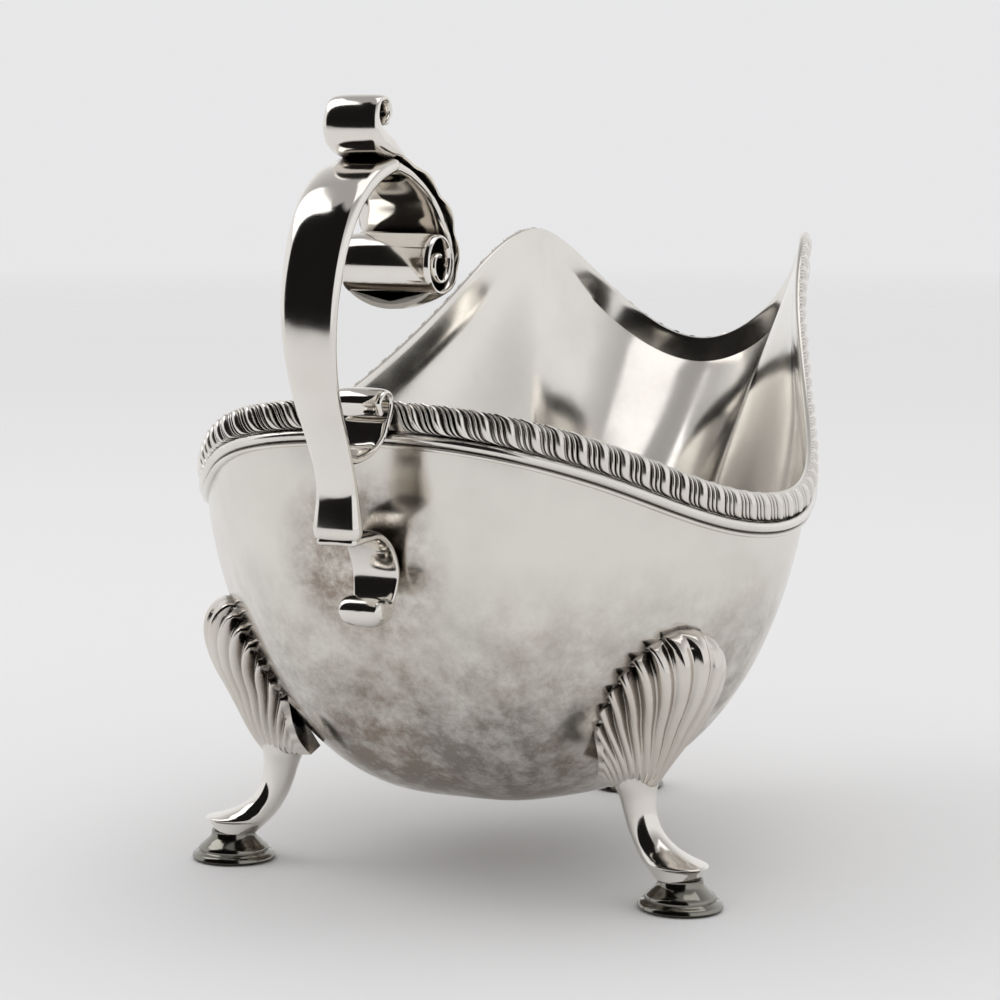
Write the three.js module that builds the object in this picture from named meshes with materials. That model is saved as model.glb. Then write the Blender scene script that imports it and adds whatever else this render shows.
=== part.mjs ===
// A silver sauce boat on three shell-headed legs, with a flying scroll handle. Millimetres.
// +X runs from the handle to the pouring lip, +Z is up, z = 0 is the table, y = 0 is the mirror plane.
import * as THREE from 'three';

// ---- Driving dimensions -------------------------------------------------------------------

const GAP = 0.3; // clearance that stands for the solder between two pieces
const WALL = 1.1; // thickness of the bowl's sheet
const TURN = 2 * Math.PI;
const SEARCH_STEPS = 40; // halvings in each search for a place on the rim or on the bowl's wall

// Control points of the rim's inner edge, from the handle round the left side to the lip.
// It is low along the flanks and rises to a shoulder on each side of the lip.
const RIM_HALF = [
  [-66, 0, 88.5], [-69, 24, 87.5], [-50.5, 39.5, 80], [-33.5, 51, 71], [-9, 56, 69],
  [11.5, 49, 77.5], [30.5, 41, 89.5], [46.5, 34, 102.5], [68.5, 29, 117], [86, 21, 99],
  [89, 0, 83],
];

// The bowl: its lowest point, and how full its walls are. A larger fullness is a squarer wall.
const BOWL_X = -6;
const BOWL_Z = 12.1;
const BOWL_PLAN_FULLNESS = 2.33;
const BOWL_HANDLE_FULLNESS = 1.14; // added towards the handle
const BOWL_WALL_FULLNESS = 1.64;
const SPOUT_TUCK = 0.22; // how far the wall under the lip is drawn in, as a part of its reach
const SPOUT_TUCK_FOCUS = 6; // how closely that hollow keeps to the lip
const BOWL_EDGE_OUT = 0.6; // outer face of the bowl's top edge, outside the rim's inner edge
const BOWL_EDGE_DROP = 5.0; // top edge of the bowl, below the rim
const BOWL_TOP_ANGLE = Math.PI / 2 - 1e-6; // just short of upright, where the wall's formula is smooth

// The applied border: its half section, as [out from the rim's inner edge, up from the rim].
const BORDER_SECTION = [
  [0, 0], [1.0, 0.05], [1.6, -0.35], [2.15, -1.5], [2.2, -2.8], [1.75, -4.1], [1.1, -4.6],
  [0, -4.6],
];
const REED_OUT = 1.5;
const REED_DROP = 5.85;
const REED_HALF_THICKNESS = 0.6;
const REED_HALF_HEIGHT = 0.8;
const REED_POINTS = 8;
const RIM_SCROLL_HALF_GAP = 5.1; // the border stops this far from the mirror plane at the handle

// The handle's ribbons, in the mirror plane: [x, z, width, thickness].
const STRAP = [
  [-68.6, 126.6, 11.6, 3.0], [-75.5, 124.6, 11.6, 3.4], [-81.6, 120.6, 11.3, 3.4],
  [-85.9, 114.6, 10.7, 3.3], [-88.7, 106.5, 10.0, 3.1], [-88.9, 98.5, 9.1, 3.0],
  [-86.9, 90.5, 8.1, 2.9], [-83.0, 82.8, 7.3, 2.7], [-79.8, 75.6, 6.8, 2.5], [-79.1, 68.3, 7.6, 2.6],
];
const THUMB_SCROLL = [
  [-66.4, 128.9, 9.2, 1.2], [-70.2, 129.9, 10.0, 1.8], [-73.2, 131.4, 10.2, 2.0],
  [-74.1, 134.2, 9.8, 1.8], [-72.6, 136.9, 9.4, 1.6], [-69.8, 137.3, 9.2, 1.5],
  [-68.3, 135.3, 9.0, 1.4], [-69.6, 133.6, 9.0, 1.3],
];
const LEAF = [
  [-65.2, 128.3, 9.2, 1.1], [-60.5, 126.1, 13.0, 1.1], [-55.4, 122.0, 15.6, 1.1],
  [-51.9, 116.4, 17.4, 1.1], [-51.1, 110.0, 18.0, 1.1], [-53.0, 105.2, 16.4, 1.1],
  [-57.2, 103.1, 11.5, 1.1], [-60.6, 103.2, 5.0, 1.0],
];
const VOLUTE_ARM = [
  [-67.4, 126.3, 11.6, 2.6], [-63.2, 124.7, 12.6, 2.2], [-58.2, 121.2, 14.2, 1.7],
  [-54.9, 116.2, 16.0, 1.4],
];
const VOLUTE_X = -58;
const VOLUTE_Z = 109.8;
const VOLUTE_START_RADIUS = 4.0;
const VOLUTE_END_RADIUS = 1.9;
const VOLUTE_TIGHTENING = 1.3; // above 1, the roll winds in slowly at first
const VOLUTE_START_ANGLE = THREE.MathUtils.degToRad(20);
const VOLUTE_SWEEP = THREE.MathUtils.degToRad(400);
const VOLUTE_STEPS = 14;
const VOLUTE_WIDTH = 16.8;
const VOLUTE_THICKNESS = 1.2;
const RIM_SCROLL = [
  [-79.2, 80.0, 4.2, 2.0], [-76.2, 79.4, 4.6, 1.9], [-72.6, 80.3, 6.2, 1.7], [-70.8, 82.4, 8.2, 1.6],
  [-69.8, 84.9, 9.2, 1.9], [-68.7, 87.3, 9.4, 2.0], [-69.2, 89.2, 9.4, 1.7], [-71.2, 89.8, 9.4, 1.5],
  [-72.8, 88.4, 9.2, 1.4], [-72.1, 86.6, 9.0, 1.3],
];
const LOWER_SCROLL = [
  [-79.9, 66.3, 7.2, 2.3], [-76.2, 66.5, 8.0, 2.1], [-72.2, 66.3, 8.4, 1.9], [-68.3, 63.9, 8.6, 1.7],
  [-66.1, 60.0, 8.6, 1.5], [-66.2, 56.2, 8.0, 1.6], [-68.6, 53.2, 7.2, 2.1], [-71.8, 52.4, 6.4, 2.6],
  [-74.0, 53.2, 5.8, 2.6],
];
const STEPS_PER_SPAN = 3;
const SECTION_POINTS = 12;
const SECTION_SQUARENESS = 3; // exponent of a ribbon's rounded section, 2 being an ellipse

// The legs: where each pad's centre stands, and which way the leg faces, in degrees from +X.
const LEGS = [
  { name: 'rear_left', x: -37.5, y: 43.6, facing: 105 },
  { name: 'rear_right', x: -37.5, y: -43.6, facing: -105 },
  { name: 'front', x: 48, y: 0, facing: 0 },
];
const SHELL_BOTTOM = 20.5;
const SHELL_TOP = 48.5;
const SHELL_STAND = 9.4; // how far the shell's crest stands off the bowl, at its foot
const SHELL_EDGE = 0.9;
// Clearance behind a shell, which is flat between its points where the bowl is hollow under the lip.
const SHELL_SEAT = 0.5;
const SHELL_HINGE_HALF = 4;
const SHELL_FAN_HALF = 5.6; // added to the hinge's half width at the widest part of the fan
const SHELL_RIBS = 11;
const SHELL_GROOVE = 0.55;
const SHELL_GROOVE_GROWTH = 3; // the grooves are at full depth one part in this many of the way up
const SHELL_LEVELS = 9;
const SHELL_LAST_LEVEL = 0.96; // the topmost level, as a part of the way to where the fan closes
const SHELL_FAN_ARC = 0.75 * Math.PI; // the fan widens as the sine of this angle, taken up its height
const SHELL_CREST = { power: 3.2, roundness: 0.6 }; // how the crest sinks to the bowl towards its top
const SHELL_CROWN = { power: 2.2, roundness: 0.55 }; // how the face falls away to each side
const SHELL_BACK_STRIDE = 4; // the plain back has a point for each of this many on the ribbed face
const LEG_SEARCH = { from: -40, to: 25 }; // the bowl's wall lies between these, out from a pad's axis
// Round this height a shell's back leaves the bowl, smoothly, and runs down to a spur behind the stem.
const SPUR = { z: 26.9, out: -9.6, slope: 0.84, blend: 6 };
// The stem: [height, front face, back face, half width], with the faces measured from the pad's axis.
const STEM = [
  [20.2, -5.7, -13.2, 3.7], [17.9, -5.8, -12.3, 3.1], [14.8, -5.4, -11.3, 2.8], [12.1, -4.0, -10.2, 2.9],
  [9.9, -1.2, -8.9, 3.4], [8.5, 2.2, -7.9, 4.1], [7.7, 5.1, -7.2, 4.6], [7.0, 4.4, -6.5, 4.3],
  [5.2, 3.4, -4.6, 3.8],
];
const STEM_SECTION_POINTS = 14;
// The pad's outline, from the middle of its underside to the middle of its top: [radius, height].
const PAD_OUTLINE = [
  [0, 0], [7.3, 0], [7.6, 0.6], [7.2, 1.3], [6.4, 1.6], [6.1, 2.5], [5.0, 3.6], [4.2, 4.2], [4.0, 4.9],
  [0, 4.9],
];
const PAD_SEGMENTS = 28;

const BOWL_COLUMNS = 60;
const BOWL_ROWS = 13;
const BOWL_ROW_CROWDING = 1.15; // above 1, the rows lie closer together at the bottom
const REED_STEPS = 72;
const BORDER_STEPS = 44;

// ---- Silver finishes ----------------------------------------------------------------------

const silver = (color, roughness) => new THREE.MeshStandardMaterial({ color, roughness, metalness: 1 });
const polished = () => silver(0xd2cfc9, 0.16);
const cast = () => silver(0xbdb9b2, 0.24);
const worn = () => silver(0xc8c4bd, 0.2);

// ---- Solids from rings --------------------------------------------------------------------

const mean = (ring) => {
  const sum = new THREE.Vector3();
  ring.forEach((p) => sum.add(p));
  return sum.divideScalar(ring.length);
};

const signedVolume = (points, faces) => faces.reduce((sum, [a, b, c]) => {
  const cross = new THREE.Vector3().crossVectors(points[b], points[c]);
  return sum + points[a].dot(cross) / 6;
}, 0);

// Joins closed rings of equal length into one closed body. The ends are capped at their middles,
// or at the two given points; a looped body joins its last ring to its first.
const loft = (rings, { looped = false, firstCap = null, lastCap = null } = {}) => {
  const points = rings.flat();
  const count = rings[0].length;
  const faces = [];
  const spans = looped ? rings.length : rings.length - 1;
  for (let r = 0; r < spans; r += 1) {
    const here = r * count;
    const next = ((r + 1) % rings.length) * count;
    for (let k = 0; k < count; k += 1) {
      const l = (k + 1) % count;
      faces.push([here + k, here + l, next + l], [here + k, next + l, next + k]);
    }
  }
  if (!looped) {
    const last = (rings.length - 1) * count;
    const first = points.push(firstCap ?? mean(rings[0])) - 1;
    const end = points.push(lastCap ?? mean(rings[rings.length - 1])) - 1;
    for (let k = 0; k < count; k += 1) {
      const l = (k + 1) % count;
      faces.push([first, l, k], [end, last + k, last + l]);
    }
  }
  const outward = signedVolume(points, faces) > 0;
  const index = faces.flatMap(([a, b, c]) => (outward ? [a, b, c] : [a, c, b]));
  const geometry = new THREE.BufferGeometry().setFromPoints(points);
  geometry.setIndex(index);
  geometry.computeVertexNormals();
  return geometry;
};

// ---- The rim, as a closed uniform cubic B-spline --------------------------------------------

const RIM_CONTROL = [
  ...RIM_HALF.map(([x, y, z]) => new THREE.Vector3(x, y, z)),
  ...RIM_HALF.slice(1, -1).reverse().map(([x, y, z]) => new THREE.Vector3(x, -y, z)),
];

const blend = (i, weights) => {
  const count = RIM_CONTROL.length;
  const sum = new THREE.Vector3();
  weights.forEach((w, k) => sum.addScaledVector(RIM_CONTROL[(i - 1 + k + count) % count], w));
  return sum;
};

// Point on the rim's inner edge for u from 0, at the handle, through 0.5, at the lip, to 1, with the
// directions along it, out from the bowl, and up across it.
const rimAt = (u) => {
  const s = THREE.MathUtils.euclideanModulo(u, 1) * RIM_CONTROL.length;
  const i = Math.floor(s);
  const t = s - i;
  const point = blend(i, [
    (1 - t) ** 3 / 6,
    (3 * t ** 3 - 6 * t ** 2 + 4) / 6,
    (-3 * t ** 3 + 3 * t ** 2 + 3 * t + 1) / 6,
    t ** 3 / 6,
  ]);
  const along = blend(i, [
    -((1 - t) ** 2) / 2,
    (3 * t ** 2 - 4 * t) / 2,
    (-3 * t ** 2 + 2 * t + 1) / 2,
    t ** 2 / 2,
  ]).normalize();
  const out = new THREE.Vector3(-along.y, along.x, 0).normalize();
  const up = new THREE.Vector3().crossVectors(along, out).normalize();
  return { point, out, up: up.z < 0 ? up.negate() : up };
};

const offRim = (u, out, up) => {
  const rim = rimAt(u);
  return rim.point.clone().addScaledVector(rim.out, out).addScaledVector(rim.up, up);
};

// Where, between the handle and the lip, a quantity that rises along the rim reaches a value.
const findOnRim = (value, measure) => {
  let low = 0;
  let high = 0.5;
  for (let n = 0; n < SEARCH_STEPS; n += 1) {
    const middle = (low + high) / 2;
    if (measure(offRim(middle, BOWL_EDGE_OUT, -BOWL_EDGE_DROP)) < value) low = middle;
    else high = middle;
  }
  return (low + high) / 2;
};

// ---- The bowl -------------------------------------------------------------------------------

// The wall's height and reach, each as a part of the edge's, at an angle up from the bottom.
const wallShape = (edge, angle) => {
  const dx = edge.x - BOWL_X;
  const towardsLip = dx / Math.hypot(dx, edge.y);
  const backness = ((1 - towardsLip) / 2) ** 2;
  const spoutness = ((1 + towardsLip) / 2) ** SPOUT_TUCK_FOCUS;
  const fullness = BOWL_PLAN_FULLNESS + BOWL_HANDLE_FULLNESS * backness;
  const rise = 1 - Math.cos(angle) ** (2 / BOWL_WALL_FULLNESS);
  const tuck = SPOUT_TUCK * spoutness * Math.sin(Math.PI * rise);
  return { rise, reach: Math.sin(angle) ** (2 / fullness) - tuck };
};

const wallPoint = (edge, angle, bottom) => {
  const { rise, reach } = wallShape(edge, angle);
  return new THREE.Vector3(
    BOWL_X + (edge.x - BOWL_X) * reach,
    edge.y * reach,
    bottom + (edge.z - bottom) * rise,
  );
};

const wallRing = (out, bottom, angle) => {
  const ring = [];
  for (let k = 0; k < BOWL_COLUMNS; k += 1) {
    ring.push(wallPoint(offRim(k / BOWL_COLUMNS, out, -BOWL_EDGE_DROP), angle, bottom));
  }
  return ring;
};

const bodyShell = () => {
  const angles = Array.from({ length: BOWL_ROWS }, (_, r) => {
    const part = ((r + 1) / BOWL_ROWS) ** BOWL_ROW_CROWDING;
    return BOWL_TOP_ANGLE * part;
  });
  const outer = angles.map((angle) => wallRing(BOWL_EDGE_OUT, BOWL_Z, angle));
  const inner = angles.map((angle) => wallRing(BOWL_EDGE_OUT - WALL, BOWL_Z + WALL, angle));
  return loft([...outer, ...inner.reverse()], {
    firstCap: new THREE.Vector3(BOWL_X, 0, BOWL_Z),
    lastCap: new THREE.Vector3(BOWL_X, 0, BOWL_Z + WALL),
  });
};

// How far the bowl's outer face reaches from its middle, in the direction of a point and at its height.
const bowlReach = (x, y, z) => {
  const bearing = (p) => Math.PI - Math.atan2(Math.abs(p.y), p.x - BOWL_X);
  const u = findOnRim(bearing({ x, y }), bearing);
  const edge = offRim(u, BOWL_EDGE_OUT, -BOWL_EDGE_DROP);
  const rise = THREE.MathUtils.clamp((z - BOWL_Z) / (edge.z - BOWL_Z), 0, 1);
  const angle = Math.acos((1 - rise) ** (BOWL_WALL_FULLNESS / 2));
  return wallShape(edge, angle).reach * Math.hypot(edge.x - BOWL_X, edge.y);
};

// ---- The rim's reed and gadroon border --------------------------------------------------------

const rimWire = () => {
  const rings = [];
  for (let k = 0; k < REED_STEPS; k += 1) {
    const ring = [];
    for (let j = 0; j < REED_POINTS; j += 1) {
      const angle = (TURN * j) / REED_POINTS;
      const out = REED_OUT + REED_HALF_THICKNESS * Math.cos(angle);
      ring.push(offRim(k / REED_STEPS, out, -REED_DROP + REED_HALF_HEIGHT * Math.sin(angle)));
    }
    rings.push(ring);
  }
  return loft(rings, { looped: true });
};

const gadroonBorder = (side) => {
  const sideways = (p) => (p.x > BOWL_X ? Infinity : p.y);
  const first = findOnRim(RIM_SCROLL_HALF_GAP, sideways);
  const last = 0.5;
  const rings = [];
  for (let k = 0; k <= BORDER_STEPS; k += 1) {
    const u = first + (last - first) * (k / BORDER_STEPS);
    rings.push(BORDER_SECTION.map(([out, up]) => {
      const p = offRim(u, out, up);
      return new THREE.Vector3(p.x, side * Math.max(p.y, GAP / 2), p.z);
    }));
  }
  return loft(rings);
};

// ---- Handle ribbons ----------------------------------------------------------------------------

const squared = (c) => Math.sign(c) * Math.abs(c) ** (2 / SECTION_SQUARENESS);

// Sweeps a rounded section along a path in the mirror plane. Each station is [x, z, width, thickness].
const ribbon = (stations, smooth = true) => {
  const places = stations.map(([x, z]) => new THREE.Vector3(x, 0, z));
  const sizes = stations.map(([, , width, thickness]) => new THREE.Vector3(width, thickness, 0));
  const line = new THREE.CatmullRomCurve3(places, false, 'catmullrom');
  const size = new THREE.CatmullRomCurve3(sizes, false, 'catmullrom');
  const steps = (stations.length - 1) * (smooth ? STEPS_PER_SPAN : 1);
  const rings = [];
  for (let k = 0; k <= steps; k += 1) {
    const at = line.getPoint(k / steps);
    const along = line.getTangent(k / steps);
    const across = new THREE.Vector3(-along.z, 0, along.x);
    const { x: width, y: thickness } = size.getPoint(k / steps);
    const ring = [];
    for (let j = 0; j < SECTION_POINTS; j += 1) {
      const angle = (TURN * (j + 0.5)) / SECTION_POINTS;
      const side = (width / 2) * squared(Math.cos(angle));
      const lift = (thickness / 2) * squared(Math.sin(angle));
      ring.push(at.clone().addScaledVector(across, lift).setY(side));
    }
    rings.push(ring);
  }
  return loft(rings);
};

// The large scroll: an arm that leaves the grip and winds into a roll.
const voluteStations = () => {
  const turns = Array.from({ length: VOLUTE_STEPS + 1 }, (_, k) => {
    const part = k / VOLUTE_STEPS;
    const angle = VOLUTE_START_ANGLE - VOLUTE_SWEEP * part;
    const radius = THREE.MathUtils.lerp(VOLUTE_START_RADIUS, VOLUTE_END_RADIUS, part ** VOLUTE_TIGHTENING);
    const x = VOLUTE_X + radius * Math.cos(angle);
    const z = VOLUTE_Z + radius * Math.sin(angle);
    return [x, z, VOLUTE_WIDTH, VOLUTE_THICKNESS];
  });
  return [...VOLUTE_ARM, ...turns];
};

// ---- Legs --------------------------------------------------------------------------------------

// A point by its distance out from the pad's axis, to the leg's side, and up from the table.
const legPoint = (leg, out, side, z) => {
  const facing = THREE.MathUtils.degToRad(leg.facing);
  const x = leg.x + out * Math.cos(facing) - side * Math.sin(facing);
  const y = leg.y + out * Math.sin(facing) + side * Math.cos(facing);
  return new THREE.Vector3(x, y, z);
};

// Distance out from the pad's axis to the bowl's outer face, at a height and beside the leg's middle.
const bowlFace = (leg, side, z) => {
  let low = LEG_SEARCH.from;
  let high = LEG_SEARCH.to;
  for (let n = 0; n < SEARCH_STEPS; n += 1) {
    const middle = (low + high) / 2;
    const p = legPoint(leg, middle, side, z);
    if (Math.hypot(p.x - BOWL_X, p.y) < bowlReach(p.x, p.y, z)) low = middle;
    else high = middle;
  }
  return (low + high) / 2;
};

const legShell = (leg) => {
  const rings = [];
  for (let r = 0; r < SHELL_LEVELS; r += 1) {
    const up = Math.sin((Math.PI / 2) * SHELL_LAST_LEVEL * (r / (SHELL_LEVELS - 1)));
    const z = SHELL_BOTTOM + (SHELL_TOP - SHELL_BOTTOM) * up;
    const fan = SHELL_HINGE_HALF + SHELL_FAN_HALF * Math.sin(SHELL_FAN_ARC * up);
    const half = fan * Math.sqrt(1 - up ** 4);
    const stand = SHELL_STAND * (1 - up ** SHELL_CREST.power) ** SHELL_CREST.roundness;
    const spur = SPUR.out - SPUR.slope * (SPUR.z - z);
    const free = 1 - THREE.MathUtils.smoothstep(z, SPUR.z - SPUR.blend, SPUR.z + SPUR.blend);
    const front = [];
    const back = [];
    for (let k = 0; k <= 2 * SHELL_RIBS; k += 1) {
      const across = Math.sin((Math.PI / 2) * (k / SHELL_RIBS - 1));
      const groove = k % 2 === 0 ? SHELL_GROOVE * Math.min(1, SHELL_GROOVE_GROWTH * up) : 0;
      const crown = (1 - Math.abs(across) ** SHELL_CROWN.power) ** SHELL_CROWN.roundness;
      const wall = bowlFace(leg, half * across, z);
      const rest = wall + free * Math.max(spur - wall, 0) + SHELL_SEAT;
      const face = rest + SHELL_EDGE + (stand - SHELL_EDGE) * crown - groove * crown;
      front.push(legPoint(leg, face, half * across, z));
      if (k % SHELL_BACK_STRIDE === 0 || k === 2 * SHELL_RIBS) {
        back.push(legPoint(leg, rest, half * across, z));
      }
    }
    rings.push([...front, ...back.reverse()]);
  }
  return loft(rings);
};

const legStem = (leg) => loft(STEM.map(([z, front, back, half]) => {
  const ring = [];
  for (let k = 0; k < STEM_SECTION_POINTS; k += 1) {
    const angle = (TURN * k) / STEM_SECTION_POINTS;
    const out = (front + back) / 2 + ((front - back) / 2) * Math.cos(angle);
    ring.push(legPoint(leg, out, half * Math.sin(angle), z));
  }
  return ring;
}));

const footPad = () => {
  const outline = PAD_OUTLINE.map(([r, z]) => new THREE.Vector2(r, z));
  return new THREE.LatheGeometry(outline, PAD_SEGMENTS).rotateX(Math.PI / 2);
};

// ---- The assembly --------------------------------------------------------------------------------

const sauceBoat = new THREE.Group();

const addPiece = (name, geometry, material) => {
  const mesh = new THREE.Mesh(geometry, material);
  mesh.name = name;
  sauceBoat.add(mesh);
  return mesh;
};

addPiece('body_shell', bodyShell(), polished());
addPiece('rim_wire', rimWire(), worn());
addPiece('gadroon_border_left', gadroonBorder(1), cast());
addPiece('gadroon_border_right', gadroonBorder(-1), cast());
addPiece('handle_strap', ribbon(STRAP), polished());
addPiece('handle_thumb_scroll', ribbon(THUMB_SCROLL), polished());
addPiece('handle_leaf', ribbon(LEAF), cast());
addPiece('handle_volute', ribbon(voluteStations(), false), polished());
addPiece('handle_rim_scroll', ribbon(RIM_SCROLL), polished());
addPiece('handle_lower_scroll', ribbon(LOWER_SCROLL), polished());
LEGS.forEach((leg) => {
  addPiece(`leg_shell_${leg.name}`, legShell(leg), cast());
  addPiece(`leg_stem_${leg.name}`, legStem(leg), polished());
  addPiece(`foot_pad_${leg.name}`, footPad(), worn()).position.set(leg.x, leg.y, 0);
});

export default sauceBoat;
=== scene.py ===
"""A silver sauce boat with a gadrooned rim, a flying scroll handle and shell-headed feet."""

import math

import bpy
import numpy as np
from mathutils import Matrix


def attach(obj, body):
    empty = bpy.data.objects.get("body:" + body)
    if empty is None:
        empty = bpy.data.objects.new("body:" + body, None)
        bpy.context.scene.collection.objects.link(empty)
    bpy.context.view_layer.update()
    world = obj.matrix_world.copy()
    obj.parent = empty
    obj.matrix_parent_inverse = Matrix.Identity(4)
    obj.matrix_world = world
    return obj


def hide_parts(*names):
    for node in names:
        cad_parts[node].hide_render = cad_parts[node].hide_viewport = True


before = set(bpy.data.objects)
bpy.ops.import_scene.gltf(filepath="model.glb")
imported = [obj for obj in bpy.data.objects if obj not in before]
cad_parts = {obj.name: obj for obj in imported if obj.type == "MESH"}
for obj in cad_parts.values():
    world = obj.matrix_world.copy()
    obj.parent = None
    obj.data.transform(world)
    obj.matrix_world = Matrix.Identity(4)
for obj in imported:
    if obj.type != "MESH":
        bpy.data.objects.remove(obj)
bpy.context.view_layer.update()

# ---- Dimensions, in millimetres --------------------------------------------------------------

METRES = 0.001
TURN = 2 * math.pi

# Control points of the rim's inner edge, from the handle round the left side to the lip.
RIM_HALF = [
    (-66, 0, 88.5), (-69, 24, 87.5), (-50.5, 39.5, 80), (-33.5, 51, 71), (-9, 56, 69),
    (11.5, 49, 77.5), (30.5, 41, 89.5), (46.5, 34, 102.5), (68.5, 29, 117), (86, 21, 99),
    (89, 0, 83),
]

BOWL_X = -6
BOWL_Z = 12.1
WALL = 1.1
BOWL_PLAN_FULLNESS = 2.33
BOWL_HANDLE_FULLNESS = 1.14
BOWL_WALL_FULLNESS = 1.64
SPOUT_TUCK = 0.22
SPOUT_TUCK_FOCUS = 6
ROUND_WAVES = 3
ROUND_AMOUNT = 0.5
ROUND_FADE = 0.6
ROUND_FROM = -0.2
ROUND_OVER = 0.5
BOWL_EDGE_OUT = 0.6
BOWL_EDGE_DROP = 5.0
BOWL_COLUMNS = 320
BOWL_ROWS = 56

# The top of the sheet, from the inner wall over the rim to the outer wall: (out, up).
RIM_ROLL = [
    (-0.42, -4.0), (-0.28, -2.6), (-0.14, -1.4), (0.0, -0.5), (0.14, -0.12), (0.42, 0.05),
    (0.8, 0.04), (1.08, -0.12), (1.2, -0.5), (1.15, -1.4), (1.0, -2.6), (0.8, -4.0),
]

# The reed and fillet under the border: (out, up).
REED_SECTION = [
    (0.5, -4.95), (1.1, -4.9), (1.65, -5.1), (2.0, -5.5), (2.08, -5.95), (1.85, -6.4), (1.4, -6.7),
    (1.08, -6.82), (1.3, -6.95), (1.5, -7.2), (1.4, -7.5), (1.05, -7.68), (0.4, -7.7),
]
REED_STEPS = 360
REED_SEAT = 0.3

# The gadroon border: one wide lobe and two fine reeds in each unit.
GADROON_PITCH = 4.2
GADROON_FLOOR = [(1.0, -4.8), (1.15, -4.3), (1.22, -3.0), (1.2, -1.6), (1.1, -0.6), (0.9, -0.1)]
GADROON_CREST = [(1.0, -4.85), (1.85, -4.35), (2.3, -2.9), (2.2, -1.4), (1.65, -0.15), (0.95, 0.2)]
GADROON_MEMBERS = [(0.03, 0.49, 1.0, 11), (0.53, 0.71, 0.66, 7), (0.76, 0.94, 0.6, 7)]
GADROON_ROWS = 18
GADROON_LEAN_HANDLE = 5.2
GADROON_LEAN_LIP = 0.9
RIM_SCROLL_HALF_GAP = 5.1

# The handle's ribbons, in the mirror plane: (x, z, width, thickness).
RIBBON_POINTS = 36
RIBBON_SQUARENESS = 3.0
STRAP = [
    (-68.6, 126.6, 11.6, 3.0), (-75.5, 124.6, 11.6, 3.4), (-81.6, 120.6, 11.3, 3.4),
    (-85.9, 114.6, 10.7, 3.3), (-88.7, 106.5, 10.0, 3.1), (-88.9, 98.5, 9.1, 3.0),
    (-86.9, 90.5, 8.1, 2.9), (-83.0, 82.8, 7.3, 2.7), (-80.1, 75.6, 7.0, 2.7),
    (-79.7, 68.3, 8.4, 4.2),
]
THUMB_SCROLL = [
    (-64.6, 128.2, 9.8, 2.0), (-69.0, 129.6, 10.8, 4.4), (-72.6, 131.3, 10.6, 4.4),
    (-74.0, 134.2, 9.9, 2.4), (-72.6, 136.9, 9.4, 1.6), (-69.8, 137.3, 9.2, 1.5),
    (-68.3, 135.3, 9.0, 1.4), (-69.6, 133.6, 9.0, 1.3),
]
LEAF = [
    (-65.2, 128.3, 9.2, 1.1), (-60.5, 126.1, 13.0, 1.1), (-55.4, 122.0, 15.6, 1.1),
    (-51.9, 116.4, 17.4, 1.1), (-51.1, 110.0, 18.0, 1.1), (-53.0, 105.4, 17.8, 1.1),
    (-56.6, 103.4, 17.0, 1.0), (-60.4, 103.2, 14.6, 0.8),
]
LEAF_CUP = 2.4
LEAF_FRILLS = 6
VOLUTE_ARM = [
    (-67.4, 126.3, 11.6, 2.6), (-63.2, 124.7, 12.6, 2.2), (-58.2, 121.2, 14.2, 1.7),
    (-54.9, 116.2, 16.0, 1.4),
]
VOLUTE_X = -58
VOLUTE_Z = 110.5
VOLUTE_WIDTH = 16.8
VOLUTE_RADII = (5.0, 1.1)
VOLUTE_START = math.radians(20)
VOLUTE_SWEEP = math.radians(660)
VOLUTE_CLOSING = 2.1
RIM_SCROLL = [
    (-79.2, 80.0, 4.2, 2.0), (-76.2, 79.4, 4.6, 1.9), (-72.6, 80.3, 6.2, 1.7),
    (-70.8, 82.4, 8.2, 1.6), (-69.8, 84.9, 9.2, 1.9), (-68.7, 87.3, 9.4, 2.0),
    (-69.2, 89.2, 9.4, 1.7), (-71.2, 89.8, 9.4, 1.5), (-72.8, 88.4, 9.2, 1.4),
    (-72.1, 86.6, 9.0, 1.3),
]
LOWER_SCROLL = [
    (-79.9, 66.3, 7.2, 2.3), (-76.2, 66.5, 8.0, 2.1), (-72.2, 66.3, 8.4, 1.9),
    (-68.3, 63.9, 8.6, 1.7), (-66.1, 60.0, 8.6, 1.5), (-66.3, 56.6, 8.0, 1.7),
    (-67.3, 54.4, 7.8, 2.6), (-68.9, 53.6, 8.2, 4.6), (-70.2, 53.7, 8.2, 5.8),
]

# The legs: name, pad centre, and the way the leg faces in degrees from +X.
LEGS = [
    ("rear_left", -37.5, 43.6, 105), ("rear_right", -37.5, -43.6, -105), ("front", 48, 0, 0),
]
SHELL_BOTTOM = 20.5
SHELL_TOP = 48.5
SHELL_STAND = 9.4
SHELL_TOP_POWER = 4.4
SHELL_EDGE = 0.8
SHELL_RIB = 3.5
SHELL_RIB_Z = 40.0
SHELL_CURL = 1.15
SHELL_ROOT_Z = 12.0
SHELL_GROOVE = 1.5
SHELL_SOFTNESS = 0.10
SHELL_EDGE_DEPTH = 0.8
SHELL_LOBE = 1.3
SHELL_COLUMNS = 301
SHELL_ROWS = 150
SPUR_Z = 26.9
SPUR_OUT = -9.6
SPUR_SLOPE = 0.84
SPUR_BLEND = 6.0
STEM = [
    (22.5, -5.0, -13.0, 4.0), (20.2, -5.7, -13.2, 3.7), (17.9, -5.8, -12.3, 3.1),
    (14.8, -5.4, -11.3, 2.8), (12.1, -4.0, -10.2, 2.9), (9.9, -1.2, -8.9, 3.4),
    (8.5, 2.2, -7.9, 4.1), (7.7, 5.1, -7.2, 4.6), (7.0, 4.4, -6.5, 4.3), (5.2, 3.4, -4.6, 3.8),
]
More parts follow.
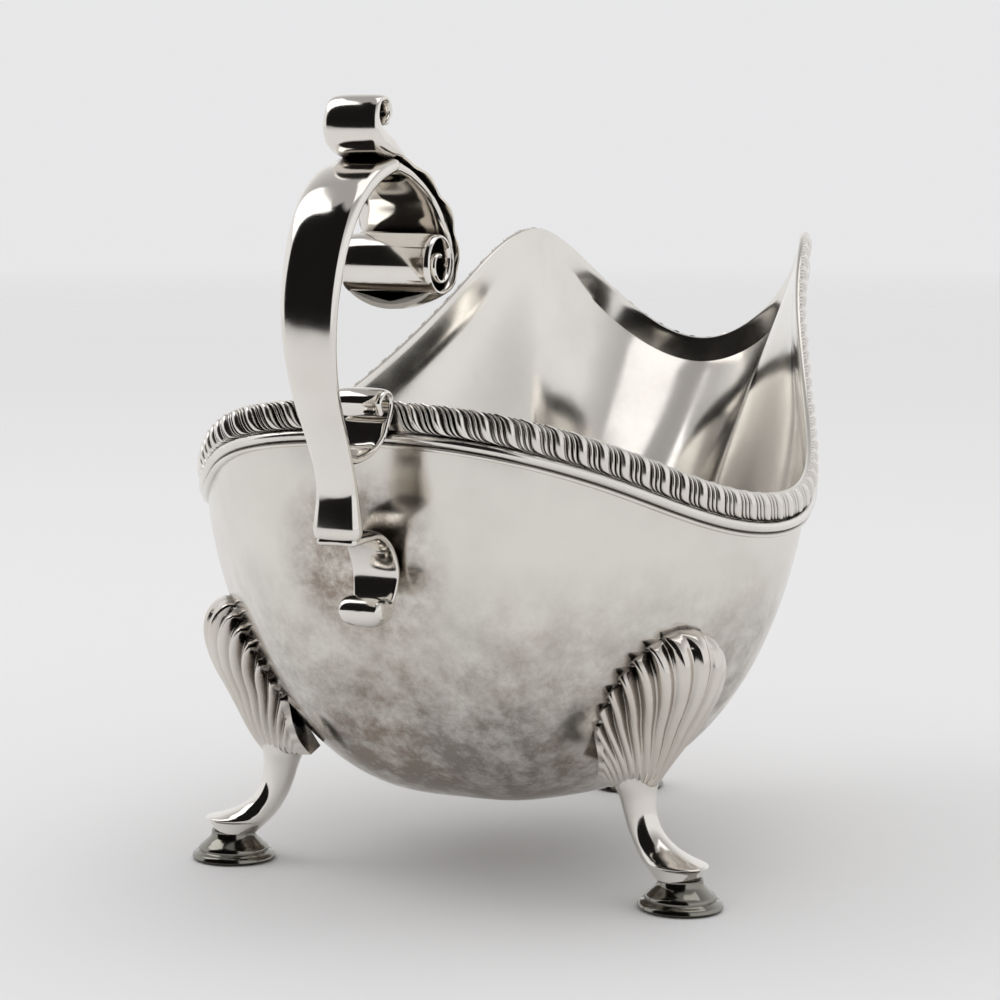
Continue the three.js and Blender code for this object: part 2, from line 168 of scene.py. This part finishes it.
PAD_OUTLINE = [
    (0, 0), (6.6, 0), (7.3, 0.1), (7.6, 0.5), (7.5, 1.0), (7.1, 1.35), (6.6, 1.45), (6.35, 1.7),
    (6.4, 2.1), (6.1, 2.6), (5.5, 3.0), (5.0, 3.5), (4.4, 4.0), (4.05, 4.5), (4.0, 5.3), (0, 5.3),
]
PAD_OVAL = (1.0, 0.92)

# ---- Meshes ----------------------------------------------------------------------------------


def spline(points, per_span):
    """Catmull-Rom through the points, with the ends carried straight on."""
    p = np.array(points, float)
    p = np.vstack([2 * p[0] - p[1], p, 2 * p[-1] - p[-2]])
    out = []
    for i in range(len(p) - 3):
        a, b, c, d = p[i:i + 4]
        for k in range(per_span):
            t = k / per_span
            out.append(0.5 * (2 * b + (c - a) * t + (2 * a - 5 * b + 4 * c - d) * t ** 2
                              + (3 * b - a - 3 * c + d) * t ** 3))
    out.append(p[-2])
    return np.array(out)


def loft(rings, looped=False):
    """Points and faces of a closed body through rings of equal length."""
    rings = np.asarray(rings, float)
    rows, count = rings.shape[:2]
    points = rings.reshape(-1, 3)
    r, k = np.meshgrid(np.arange(rows if looped else rows - 1), np.arange(count), indexing="ij")
    here = r * count
    there = ((r + 1) % rows) * count
    nxt = (k + 1) % count
    quads = np.stack([here + k, here + nxt, there + nxt, there + k], -1).reshape(-1, 4)
    faces = quads.tolist()
    if not looped:
        first = len(points)
        last = (rows - 1) * count
        points = np.vstack([points, rings[0].mean(0), rings[-1].mean(0)])
        faces += [[first, (j + 1) % count, j] for j in range(count)]
        faces += [[first + 1, last + j, last + (j + 1) % count] for j in range(count)]
    return points, faces


def add_piece(name, body, nodes, material, sharp=38):
    points, faces = body
    mesh = bpy.data.meshes.new(name)
    mesh.from_pydata((points * METRES).tolist(), [], faces)
    volume = 0.0
    for polygon in mesh.polygons:
        centre = polygon.center
        volume += centre.dot(polygon.normal) * polygon.area
    if volume < 0:
        mesh.flip_normals()
    mesh.shade_smooth()
    mesh.set_sharp_from_angle(angle=math.radians(sharp))
    mesh.materials.append(material)
    piece = bpy.data.objects.new(name, mesh)
    bpy.context.scene.collection.objects.link(piece)
    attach(piece, "root")
    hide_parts(*nodes)
    return piece


# ---- The rim ---------------------------------------------------------------------------------

CONTROL = np.array(RIM_HALF + [(x, -y, z) for x, y, z in RIM_HALF[-2:0:-1]], float)


def unit(v):
    return v / np.linalg.norm(v, axis=-1, keepdims=True)


def off_rim(u, out, up):
    """A point off the rim's inner edge, for u from 0 at the handle through 0.5 at the lip to 1."""
    s = np.mod(np.asarray(u, float), 1.0) * len(CONTROL)
    i = np.floor(s).astype(int)
    t = s - i
    near = CONTROL[(i[..., None] + np.arange(-1, 3)) % len(CONTROL)]
    weights = np.stack([(1 - t) ** 3, 3 * t ** 3 - 6 * t ** 2 + 4,
                        -3 * t ** 3 + 3 * t ** 2 + 3 * t + 1, t ** 3], -1) / 6
    slopes = np.stack([-(1 - t) ** 2, 3 * t ** 2 - 4 * t, -3 * t ** 2 + 2 * t + 1, t ** 2], -1) / 2
    point = (weights[..., None] * near).sum(-2)
    along = unit((slopes[..., None] * near).sum(-2))
    outward = unit(np.stack([-along[..., 1], along[..., 0], np.zeros_like(t)], -1))
    upward = unit(np.cross(along, outward))
    upward = upward * np.where(upward[..., 2:] < 0, -1, 1)
    out = np.broadcast_to(np.asarray(out, float), t.shape)[..., None]
    up = np.broadcast_to(np.asarray(up, float), t.shape)[..., None]
    return point + outward * out + upward * up


# ---- The bowl --------------------------------------------------------------------------------


def wall_shape(edge, angle):
    dx = edge[..., 0] - BOWL_X
    towards_lip = dx / np.hypot(dx, edge[..., 1])
    fullness = BOWL_PLAN_FULLNESS + BOWL_HANDLE_FULLNESS * ((1 - towards_lip) / 2) ** 2
    rise = 1 - np.maximum(np.cos(angle), 0) ** (2 / BOWL_WALL_FULLNESS)
    focus = ((1 + towards_lip) / 2) ** SPOUT_TUCK_FOCUS
    tuck = SPOUT_TUCK * focus * np.sin(math.pi * rise)
    bearing = math.pi - np.arctan2(np.abs(edge[..., 1]), dx)
    ease = np.clip((towards_lip - ROUND_FROM) / ROUND_OVER, 0, 1)
    amount = ROUND_AMOUNT * ease ** 2 * (3 - 2 * ease) * np.maximum(1 - rise, 0) ** ROUND_FADE
    rounder = np.interp(bearing, REACH_BEARING, ROUNDNESS) ** amount
    return rise, (np.sin(angle) ** (2 / fullness) - tuck) * rounder


def wall_ring(edge, angle, bottom):
    rise, reach = wall_shape(edge, angle)
    return np.stack([BOWL_X + (edge[:, 0] - BOWL_X) * reach, edge[:, 1] * reach,
                     bottom + (edge[:, 2] - bottom) * rise], -1)


def bowl():
    u = np.arange(BOWL_COLUMNS) / BOWL_COLUMNS
    outer_edge = off_rim(u, BOWL_EDGE_OUT, -BOWL_EDGE_DROP)
    inner_edge = off_rim(u, BOWL_EDGE_OUT - WALL, -BOWL_EDGE_DROP)
    angles = (math.pi / 2) * (np.arange(1, BOWL_ROWS + 1) / BOWL_ROWS) ** 1.1
    inner = [wall_ring(inner_edge, a, BOWL_Z + WALL) for a in angles]
    roll = [off_rim(u, out, up) for out, up in RIM_ROLL]
    outer = [wall_ring(outer_edge, a, BOWL_Z) for a in angles[::-1]]
    return loft(inner + roll + outer)


def wall_out(u, drop):
    """How far out from the rim's inner edge the bowl's outer wall lies, at a depth below it."""
    edge = off_rim(u, BOWL_EDGE_OUT, -BOWL_EDGE_DROP)
    origin = off_rim(u, 0, 0)
    outward = off_rim(u, 1, 0) - origin
    upward = off_rim(u, 0, 1) - origin
    away = [wall_ring(edge, angle, BOWL_Z) - origin for angle in np.linspace(1.1, math.pi / 2, 80)]
    outs = np.array([(a * outward).sum(-1) for a in away])
    ups = np.array([(a * upward).sum(-1) for a in away])
    return np.array([np.interp(-drop, ups[:, k], outs[:, k]) for k in range(len(u))])


REACH_U = np.linspace(0, 0.5, 4001)
REACH_EDGE = off_rim(REACH_U, BOWL_EDGE_OUT, -BOWL_EDGE_DROP)
REACH_BEARING = math.pi - np.arctan2(np.abs(REACH_EDGE[:, 1]), REACH_EDGE[:, 0] - BOWL_X)

# The rim's outline has a hollow neck on each side of the lip. The body below is rounder.
REACH_RADIUS = np.hypot(REACH_EDGE[:, 0] - BOWL_X, REACH_EDGE[:, 1])
WAVES = np.stack([np.cos(k * REACH_BEARING) for k in range(ROUND_WAVES + 1)], -1)
SHARE = np.sqrt(np.gradient(REACH_BEARING))
FIT = np.linalg.lstsq(WAVES * SHARE[:, None], REACH_RADIUS * SHARE, rcond=None)[0]
ROUNDNESS = WAVES @ FIT / REACH_RADIUS


def bowl_face(leg, side, z):
    """Distance out from the pad's axis to the bowl's outer face."""
    low = np.full(np.shape(side), -40.0)
    high = np.full(np.shape(side), 25.0)
    for _ in range(36):
        middle = (low + high) / 2
        p = leg_point(leg, middle, side, z)
        bearing = math.pi - np.arctan2(np.abs(p[..., 1]), p[..., 0] - BOWL_X)
        u = np.interp(bearing, REACH_BEARING, REACH_U)
        edge = off_rim(u, BOWL_EDGE_OUT, -BOWL_EDGE_DROP)
        rise = np.clip((z - BOWL_Z) / (edge[..., 2] - BOWL_Z), 0, 1)
        angle = np.arccos((1 - rise) ** (BOWL_WALL_FULLNESS / 2))
        reach = wall_shape(edge, angle)[1] * np.hypot(edge[..., 0] - BOWL_X, edge[..., 1])
        inside = np.hypot(p[..., 0] - BOWL_X, p[..., 1]) < reach
        low = np.where(inside, middle, low)
        high = np.where(inside, high, middle)
    return (low + high) / 2


# ---- The border ------------------------------------------------------------------------------


def arc_table():
    u = np.linspace(0, 1, 8001)
    p = off_rim(u, 1.5, -2.3)
    s = np.concatenate([[0], np.cumsum(np.linalg.norm(np.diff(p, axis=0), axis=1))])
    return u, s


def gadroon(first_u, last_u):
    """Lobes between two places on the rim, leaning the same way all round it."""
    table_u, table_s = arc_table()
    start, end = np.interp([first_u, last_u], table_u, table_s)
    units = round((end - start) / GADROON_PITCH)
    pitch = (end - start) / units
    phases, heights = [0.0], [0.0]
    for a, b, height, count in GADROON_MEMBERS:
        for k in range(count):
            x = -math.cos(math.pi * k / (count - 1))
            phases.append((a + b) / 2 + x * (b - a) / 2)
            heights.append(height * math.sqrt(max(0.0, 1 - x * x)))
    floor = spline(GADROON_FLOOR, 12)
    crest = spline(GADROON_CREST, 12)
    rows = np.linspace(0, 1, GADROON_ROWS)
    pick = np.linspace(0, 1, len(floor))
    floor = np.stack([np.interp(rows, pick, floor[:, c]) for c in (0, 1)], -1)
    crest = np.stack([np.interp(rows, pick, crest[:, c]) for c in (0, 1)], -1)
    slant = rows + 0.08 * np.sin(TURN * rows) - 0.5
    rings = []
    for n in range(units):
        vary = 1 + 0.05 * math.sin(2.3 * n) + 0.04 * math.sin(5.1 * n + 1)
        for phase, height in zip(phases, heights):
            rings.append(gadroon_ring(start + (n + phase) * pitch, height * vary, floor, crest,
                                      slant, table_u, table_s))
    rings.append(gadroon_ring(end, 0.0, floor, crest, slant, table_u, table_s))
    return loft(rings)


def gadroon_ring(s, height, floor, crest, slant, table_u, table_s):
    section = floor + (crest - floor) * height
    half = table_s[-1] / 2
    lipness = 1 - abs(s - half) / half
    lean = GADROON_LEAN_HANDLE + (GADROON_LEAN_LIP - GADROON_LEAN_HANDLE) * lipness
    u = np.interp(s + lean * slant, table_s, table_u)
    face = off_rim(u, section[:, 0], section[:, 1])
    back = off_rim(u[[-1, 0]], [0.6, 0.6], [-0.3, -4.6])
    return np.vstack([face, back])


def border_start():
    u = np.linspace(0, 0.1, 2001)
    y = off_rim(u, BOWL_EDGE_OUT, -BOWL_EDGE_DROP)[:, 1]
    return float(np.interp(RIM_SCROLL_HALF_GAP, y, u))


# ---- Ribbons ---------------------------------------------------------------------------------


def ribbon(path, dish=0.0):
    """A rounded band along (x, z, width, thickness). A positive dish hollows its inner face."""
    xz = path[:, :2]
    tangent = np.gradient(xz, axis=0)
    tangent = tangent / np.linalg.norm(tangent, axis=1, keepdims=True)
    rings = []

    def ring(k, shrink, advance):
        width, thick = path[k, 2] * (1 - (1 - shrink) * 0.25), path[k, 3] * shrink
        angle = TURN * (np.arange(RIBBON_POINTS) + 0.5) / RIBBON_POINTS
        c, s = np.cos(angle), np.sin(angle)
        side = width / 2 * np.sign(c) * np.abs(c) ** (2 / RIBBON_SQUARENESS)
        lift = thick / 2 * np.sign(s) * np.abs(s) ** (2 / RIBBON_SQUARENESS)
        hollow = abs(dish) * (1 - (2 * side / width) ** 2) * shrink
        lift = lift - np.where(np.sign(s) == np.sign(dish), hollow * np.sign(dish), 0)
        centre = xz[k] + tangent[k] * advance
        return np.stack([centre[0] - tangent[k, 1] * lift, side, centre[1] + tangent[k, 0] * lift], -1)

    for a in (0.15, 0.5, 0.85, 1.2):
        rings.append(ring(0, math.sin(a), -path[0, 3] / 2 * math.cos(a)))
    rings += [ring(k, 1.0, 0.0) for k in range(len(path))]
    for a in (1.2, 0.85, 0.5, 0.15):
        rings.append(ring(len(path) - 1, math.sin(a), path[-1, 3] / 2 * math.cos(a)))
    return loft(rings)


def volute_path():
    part = np.linspace(0, 1, 150)
    angle = VOLUTE_START - VOLUTE_SWEEP * part
    radius = VOLUTE_RADII[0] + (VOLUTE_RADII[1] - VOLUTE_RADII[0]) * part ** VOLUTE_CLOSING
    x = VOLUTE_X + radius * np.cos(angle)
    z = VOLUTE_Z + radius * np.sin(angle)
    roll = np.stack([x, z, np.full_like(x, VOLUTE_WIDTH), 1.5 - 0.4 * part], -1)
    arm = spline(VOLUTE_ARM + [tuple(roll[0])], 12)
    return np.vstack([arm[:-1], roll])


def leaf():
    """A cupped leaf with a ruffled edge and raised veins."""
    path = spline(LEAF, 14)
    tangent = unit(np.gradient(path[:, :2], axis=0))
    across = np.linspace(-1, 1, 45)
    part = np.linspace(0, 1, len(path))
    rings = []
    for k in range(len(path)):
        frill = math.sin(TURN * LEAF_FRILLS * part[k])
        ends = math.sin(math.pi * part[k]) ** 0.5
        calm = ends * min(1.0, max(0.0, 2.2 - 3.0 * part[k]))
        half = path[k, 2] / 2 * (1 + 0.035 * frill * calm)
        ruffle = 0.45 * math.cos(TURN * LEAF_FRILLS * part[k]) * np.abs(across) ** 4 * calm
        vein = 0.22 * np.cos(TURN * 2.5 * across) * (1 - across ** 2) * calm
        cup = LEAF_CUP * across ** 2 * part[k] ** 0.6
        proud = -cup + ruffle + vein
        faces = []
        for offset in (0.5, -0.5):
            away = proud + offset * path[k, 3] * (1 - 0.55 * across ** 6)
            x = path[k, 0] - tangent[k, 1] * away
            z = path[k, 1] + tangent[k, 0] * away
            faces.append(np.stack([x, half * across, z], -1))
        rings.append(np.vstack([faces[0], faces[1][::-1]]))
    return loft(rings)


# ---- Legs ------------------------------------------------------------------------------------


def leg_point(leg, out, side, z):
    facing = math.radians(leg[3])
    out, side, z = np.broadcast_arrays(np.asarray(out, float), side, z)
    x = leg[1] + out * math.cos(facing) - side * math.sin(facing)
    y = leg[2] + out * math.sin(facing) + side * math.cos(facing)
    return np.stack([x, y, z], -1)


def shell_half(z):
    up = np.clip((z - SHELL_BOTTOM) / (SHELL_TOP - SHELL_BOTTOM), 0, 1)
    return (4 + 5.6 * np.sin(0.75 * math.pi * up)) * np.sqrt(np.maximum(1 - up ** 5.5, 0))


def shell(leg):
    """Ribs fan up and back from the leg, and end in small lobes along the edge on the bowl."""
    across = np.sin(np.linspace(-math.pi / 2, math.pi / 2, SHELL_COLUMNS))
    rings = []
    for level in np.linspace(0, 1, SHELL_ROWS):
        up = math.sin(math.pi / 2 * level * 0.975)
        z = np.full(SHELL_COLUMNS, SHELL_BOTTOM + (SHELL_TOP - SHELL_BOTTOM) * up)
        side = shell_half(z) * across
        spur = SPUR_OUT - SPUR_SLOPE * (SPUR_Z - z)
        part = np.clip((SPUR_Z + SPUR_BLEND - z) / (2 * SPUR_BLEND), 0, 1)
        wall = bowl_face(leg, side, z)
        rest = wall + part ** 2 * (3 - 2 * part) * np.maximum(spur - wall, 0)
        crown = np.maximum(1 - np.abs(across) ** 2.2, 0) ** 0.55
        stand = SHELL_STAND * (1 - up ** SHELL_TOP_POWER) ** 0.6
        face = rest + SHELL_EDGE + max(stand - SHELL_EDGE, 0) * crown
        steps = np.hypot(np.diff(face), np.diff(side))
        run = np.concatenate([[0], np.cumsum(steps)])
        run = run - np.interp(0, side, run)
        climb = (z - SHELL_ROOT_Z) / (SHELL_RIB_Z - SHELL_ROOT_Z)
        fan = run / (SHELL_RIB * climb ** SHELL_CURL)
        rib = np.sqrt(np.cos(math.pi * fan) ** 2 + SHELL_SOFTNESS)
        grow = min(1, 1.8 * up) * min(1, 9 * (1 - up))
        deeper = 1 + SHELL_EDGE_DEPTH * np.abs(across) ** 4
        inwards = (1 - rib) * SHELL_GROOVE * grow * deeper
        lobe = SHELL_LOBE * rib * np.abs(across) ** 8 * grow
        normal = unit(np.stack([np.gradient(side), -np.gradient(face)], -1))
        out = face - (inwards - lobe) * np.abs(normal[:, 0])
        side_out = side - (inwards - lobe) * normal[:, 1] * 0.8
        front = leg_point(leg, out, side_out, z)
        back = leg_point(leg, rest - 0.5, side, z)
        rings.append(np.vstack([front, back[::-1]]))
    return loft(rings)


def stem(leg):
    path = spline(STEM, 9)
    angle = TURN * np.arange(40) / 40
    rings = []
    for z, front, back, half in path:
        out = (front + back) / 2 + (front - back) / 2 * np.cos(angle)
        rings.append(leg_point(leg, out, half * np.sin(angle), np.full_like(angle, z)))
    return loft(rings)


def pad(leg):
    angle = TURN * np.arange(96) / 96
    outline = [(r, z) for r, z in PAD_OUTLINE if r > 0]
    rings = [leg_point(leg, PAD_OVAL[0] * r * np.cos(angle), PAD_OVAL[1] * r * np.sin(angle),
                       np.full_like(angle, z)) for r, z in outline]
    return loft(rings)


# ---- Materials -------------------------------------------------------------------------------


# Painted shade darkens the bowl towards the bottom, where it mirrors the shadowed floor, and beside the
# lower scroll where the handle meets it, in blotchy brown and grey patches. Tarnish gathers in every
# recess. In metres.
LOW_SHADE_TOP = 0.062
LOW_SHADE_FULL = 0.024
# Where the painted shade beside the lower scroll is centred, and how far it reaches.
SCROLL_SHADE_PLACE = (-0.066, 0.003, 0.062)
SCROLL_SHADE_REACH = 0.017
SCROLL_SHADE_CORE = 0.006
BROWN_SHADE = (0.26, 0.20, 0.155)
GREY_SHADE = (0.25, 0.225, 0.195)
RECESS_TARNISH = (0.055, 0.042, 0.033)
SCRATCH = 0.03
SCRATCH_DEPTH = 0.0002


class Nodes:
    """Short names for adding shader nodes."""

    def __init__(self, tree):
        self.tree = tree

    def add(self, kind, **values):
        node = self.tree.nodes.new(kind)
        for key, value in values.items():
            setattr(node, key, value)
        return node

    def link(self, a, b):
        self.tree.links.new(a, b)

    def noise(self, vector, scale, detail=4.0, roughness=0.55):
        node = self.add("ShaderNodeTexNoise")
        node.inputs["Scale"].default_value = scale
        node.inputs["Detail"].default_value = detail
        node.inputs["Roughness"].default_value = roughness
        self.link(vector, node.inputs["Vector"])
        return node.outputs["Fac"]

    def ramp(self, value, low, high):
        node = self.add("ShaderNodeMapRange")
        node.inputs["From Min"].default_value = low
        node.inputs["From Max"].default_value = high
        self.link(value, node.inputs["Value"])
        return node.outputs["Result"]

    def math(self, operation, a, b):
        node = self.add("ShaderNodeMath", operation=operation)
        for socket, value in zip(node.inputs, (a, b)):
            if isinstance(value, (int, float)):
                socket.default_value = value
            else:
                self.link(value, socket)
        return node.outputs["Value"]

    def mix(self, factor, a, b):
        node = self.add("ShaderNodeMix", data_type="RGBA")
        self.link(factor, node.inputs["Factor"])
        for socket, value in ((node.inputs[6], a), (node.inputs[7], b)):
            if isinstance(value, tuple):
                socket.default_value = value + (1.0,)
            else:
                self.link(value, socket)
        return node.outputs[2]


def silver(name, clean, dull, rough, low_shade=0.0, recess=0.0, depth=0.0016):
    """Silver with blotchy patina, darker recesses, uneven polish and fine scratches."""
    material = bpy.data.materials.new(name)
    material.use_nodes = True
    n = Nodes(material.node_tree)
    shader = material.node_tree.nodes["Principled BSDF"]
    shader.inputs["Metallic"].default_value = 1.0
    place = n.add("ShaderNodeTexCoord").outputs["Object"]
    blotch = n.ramp(n.noise(place, 46.0, 6.0, 0.62), 0.42, 0.68)
    cloud = n.ramp(n.noise(place, 140.0, 5.0), 0.35, 0.75)
    colour = n.mix(n.math("MULTIPLY", blotch, 0.30), clean, dull)
    if low_shade:
        # Painted shade: darker towards the bottom of the bowl, where it mirrors the shadowed floor,
        # broken into blotchy brown and grey patches.
        split = n.add("ShaderNodeSeparateXYZ")
        n.link(place, split.inputs["Vector"])
        low = n.ramp(split.outputs["Z"], LOW_SHADE_TOP, LOW_SHADE_FULL)
        # Painted shade beside the lower scroll, where the handle meets the bowl.
        beside = n.add("ShaderNodeVectorMath", operation="DISTANCE")
        n.link(place, beside.inputs[0])
        beside.inputs[1].default_value = SCROLL_SHADE_PLACE
        scroll_shade = n.math("MULTIPLY", n.ramp(beside.outputs["Value"], SCROLL_SHADE_REACH, SCROLL_SHADE_CORE), 1.2)
        warm = n.ramp(n.noise(place, 34.0, 3.0), 0.4, 0.6)
        tint = n.mix(warm, BROWN_SHADE, GREY_SHADE)
        patches = n.math("ADD", n.ramp(n.noise(place, 130.0, 10.0, 0.74), 0.38, 0.66), 0.15)
        amount = n.math("MULTIPLY", n.math("MULTIPLY", low, patches), low_shade)
        amount = n.math("MINIMUM", n.math("ADD", amount, n.math("MULTIPLY", scroll_shade, patches)), 0.85)
        colour = n.mix(amount, colour, tint)
    if recess:
        hollow = n.add("ShaderNodeAmbientOcclusion", samples=8)
        hollow.inputs["Distance"].default_value = depth
        dark = n.math("MULTIPLY", n.ramp(hollow.outputs["AO"], 0.85, 0.25), recess)
        colour = n.mix(dark, colour, RECESS_TARNISH)
    n.link(colour, shader.inputs["Base Color"])
    uneven = n.math("ADD", n.math("MULTIPLY", blotch, 0.09), n.math("MULTIPLY", cloud, 0.03))
    n.link(n.math("ADD", uneven, rough), shader.inputs["Roughness"])
    stretch = n.add("ShaderNodeMapping")
    stretch.inputs["Scale"].default_value = (1.0, 1.0, 14.0)
    stretch.inputs["Rotation"].default_value = (0.5, 0.3, 0.2)
    n.link(place, stretch.inputs["Vector"])
    lines = n.noise(stretch.outputs["Vector"], 420.0, 6.0, 0.7)
    dents = n.noise(place, 60.0, 2.0)
    bump = n.add("ShaderNodeBump")
    bump.inputs["Strength"].default_value = SCRATCH
    bump.inputs["Distance"].default_value = SCRATCH_DEPTH
    n.link(n.math("ADD", n.math("MULTIPLY", lines, 0.3), dents), bump.inputs["Height"])
    n.link(bump.outputs["Normal"], shader.inputs["Normal"])
    return material


# The bowl's silver carries painted shade low down and beside the lower scroll.
polished = silver("polished_silver", (0.79, 0.765, 0.715), (0.62, 0.57, 0.53), 0.13, low_shade=1.15)
handle = silver("handle_silver", (0.83, 0.80, 0.755), (0.66, 0.61, 0.55), 0.055, recess=0.75)
cast = silver("cast_silver", (0.82, 0.79, 0.75), (0.56, 0.50, 0.44), 0.17, recess=0.95)
shelled = silver("shell_silver", (0.74, 0.70, 0.65), (0.44, 0.38, 0.32), 0.11, recess=1.0, depth=0.0032)
worn = silver("worn_silver", (0.82, 0.80, 0.76), (0.55, 0.50, 0.43), 0.15, recess=0.85)
tarnished = silver("tarnished_silver", (0.27, 0.26, 0.23), (0.10, 0.10, 0.085), 0.09, recess=0.95)
leafy = silver("leaf_silver", (0.78, 0.74, 0.66), (0.48, 0.42, 0.34), 0.20, recess=0.45)

# ---- The pieces ------------------------------------------------------------------------------

first = border_start()
add_piece("bowl", bowl(), ["body_shell"], polished)
reed_u = np.arange(REED_STEPS) / REED_STEPS
reed_back = np.minimum(REED_SECTION[-1][0], wall_out(reed_u, -REED_SECTION[-1][1]) - REED_SEAT)
reed = [off_rim(reed_u, out, up) for out, up in REED_SECTION[:-1]]
reed = np.stack(reed + [off_rim(reed_u, reed_back, REED_SECTION[-1][1])], 1)
add_piece("rim_reed", loft(reed, looped=True), ["rim_wire"], worn)
left = gadroon(first, 0.5)
right = gadroon(0.5, 1 - first)
add_piece("border_left", left, ["gadroon_border_left"], cast, 70)
add_piece("border_right", right, ["gadroon_border_right"], cast, 70)
add_piece("scroll_leaf", leaf(), ["handle_leaf"], leafy, 60)
RIBBONS = [
    ("grip_strap", spline(STRAP, 14), 0.0, "handle_strap"),
    ("thumb_scroll", spline(THUMB_SCROLL, 14), 0.0, "handle_thumb_scroll"),
    ("volute", volute_path(), 0.0, "handle_volute"),
    ("rim_scroll", spline(RIM_SCROLL, 14), 0.5, "handle_rim_scroll"),
    ("lower_scroll", spline(LOWER_SCROLL, 14), -0.5, "handle_lower_scroll"),
]
for name, path, dish, node in RIBBONS:
    add_piece(name, ribbon(path, dish), [node], handle)
for leg in LEGS:
    add_piece("shell_" + leg[0], shell(leg), ["leg_shell_" + leg[0]], shelled, 60)
    add_piece("stem_" + leg[0], stem(leg), ["leg_stem_" + leg[0]], handle)
    add_piece("pad_" + leg[0], pad(leg), ["foot_pad_" + leg[0]], tarnished)

# ---- Floor, light and camera -----------------------------------------------------------------

CAMERA_AZIMUTH = math.radians(24.157)
DARK_AZIMUTH = math.radians(-12)
BACKGROUND = (0.80, 0.80, 0.81)

floor_mesh = bpy.data.meshes.new("floor")
ring = [(4 * math.cos(TURN * k / 96), 4 * math.sin(TURN * k / 96), -0.0001) for k in range(96)]
floor_mesh.from_pydata(ring, [], [list(range(96))])
floor = bpy.data.objects.new("floor", floor_mesh)
bpy.context.scene.collection.objects.link(floor)
paper = bpy.data.materials.new("floor_paper")
paper.use_nodes = True
n = Nodes(paper.node_tree)
paper_shader = paper.node_tree.nodes["Principled BSDF"]
paper_shader.inputs["Base Color"].default_value = (0.79, 0.785, 0.78, 1)
paper_shader.inputs["Roughness"].default_value = 0.75
clear = n.add("ShaderNodeBsdfTransparent")
distance = n.add("ShaderNodeVectorMath", operation="LENGTH")
n.link(n.add("ShaderNodeTexCoord").outputs["Object"], distance.inputs[0])
fade = n.add("ShaderNodeMixShader")
near = n.add("ShaderNodeVectorMath", operation="DOT_PRODUCT")
n.link(n.add("ShaderNodeTexCoord").outputs["Object"], near.inputs[0])
near.inputs[1].default_value = (-math.cos(CAMERA_AZIMUTH), -math.sin(CAMERA_AZIMUTH), 0)
far = n.ramp(distance.outputs["Value"], 0.5, 2.2)
edges = n.math("MAXIMUM", far, n.ramp(near.outputs["Value"], 0.55, 0.66))
n.link(edges, fade.inputs["Fac"])
n.link(paper_shader.outputs["BSDF"], fade.inputs[1])
n.link(clear.outputs["BSDF"], fade.inputs[2])
n.link(fade.outputs["Shader"], paper.node_tree.nodes["Material Output"].inputs["Surface"])
floor_mesh.materials.append(paper)

# The studio is white, with the dark room behind the camera that gives polished silver its bands.
world = bpy.data.worlds.new("studio")
bpy.context.scene.world = world
world.use_nodes = True
n = Nodes(world.node_tree)
direction = n.add("ShaderNodeTexCoord").outputs["Generated"]
split = n.add("ShaderNodeSeparateXYZ")
n.link(direction, split.inputs["Vector"])
facing = n.add("ShaderNodeVectorMath", operation="DOT_PRODUCT")
n.link(direction, facing.inputs[0])
facing.inputs[1].default_value = (-math.cos(DARK_AZIMUTH), -math.sin(DARK_AZIMUTH), 0)
spread = n.math("DIVIDE", facing.outputs["Value"],
                n.math("SQRT", n.math("SUBTRACT", 1.0001, n.math("POWER", split.outputs["Z"], 2.0)), 0.0))
rays = n.add("ShaderNodeLightPath")
dark = n.math("MULTIPLY", n.ramp(spread, 0.62, 0.66), n.ramp(split.outputs["Z"], 0.96, 0.93))
dark = n.math("MULTIPLY", dark, n.math("SUBTRACT", 1.0, rays.outputs["Is Diffuse Ray"]))
background = world.node_tree.nodes["Background"]
ceiling = n.math("MULTIPLY", n.ramp(split.outputs["Z"], 0.45, 0.85),
                 n.math("SUBTRACT", 1.0, rays.outputs["Is Diffuse Ray"]))
walls = n.mix(ceiling, (0.90, 0.90, 0.91), (0.42, 0.41, 0.41))
room = n.mix(dark, walls, (0.010, 0.009, 0.009))
n.link(n.mix(rays.outputs["Is Camera Ray"], room, BACKGROUND), background.inputs["Color"])


def softbox(name, place, size, power):
    light = bpy.data.lights.new(name, "AREA")
    light.shape = "RECTANGLE"
    light.size, light.size_y = size
    light.energy = power
    lamp = bpy.data.objects.new(name, light)
    lamp.location = place
    towards = -np.array(place) + np.array([0, 0, 0.06])
    lamp.rotation_euler = (math.acos(-towards[2] / np.linalg.norm(towards)), 0,
                           math.atan2(towards[1], towards[0]) - math.pi / 2)
    lamp.visible_camera = False
    bpy.context.scene.collection.objects.link(lamp)


softbox("key", (-0.15, 0.75, 0.95), (0.6, 0.6), 1.6)
softbox("top", (0.25, -0.25, 1.25), (0.8, 0.8), 1.8)

camera_data = bpy.data.cameras.new("camera")
camera_data.sensor_width = 36
camera_data.lens = 108
camera = bpy.data.objects.new("camera", camera_data)
camera.location = (-0.50731, -0.22049, 0.13382)
camera.rotation_euler = (math.radians(90 - 7.208), 0, CAMERA_AZIMUTH - math.pi / 2)
bpy.context.scene.collection.objects.link(camera)
bpy.context.scene.camera = camera
bpy.context.scene.view_settings.view_transform = "Standard"
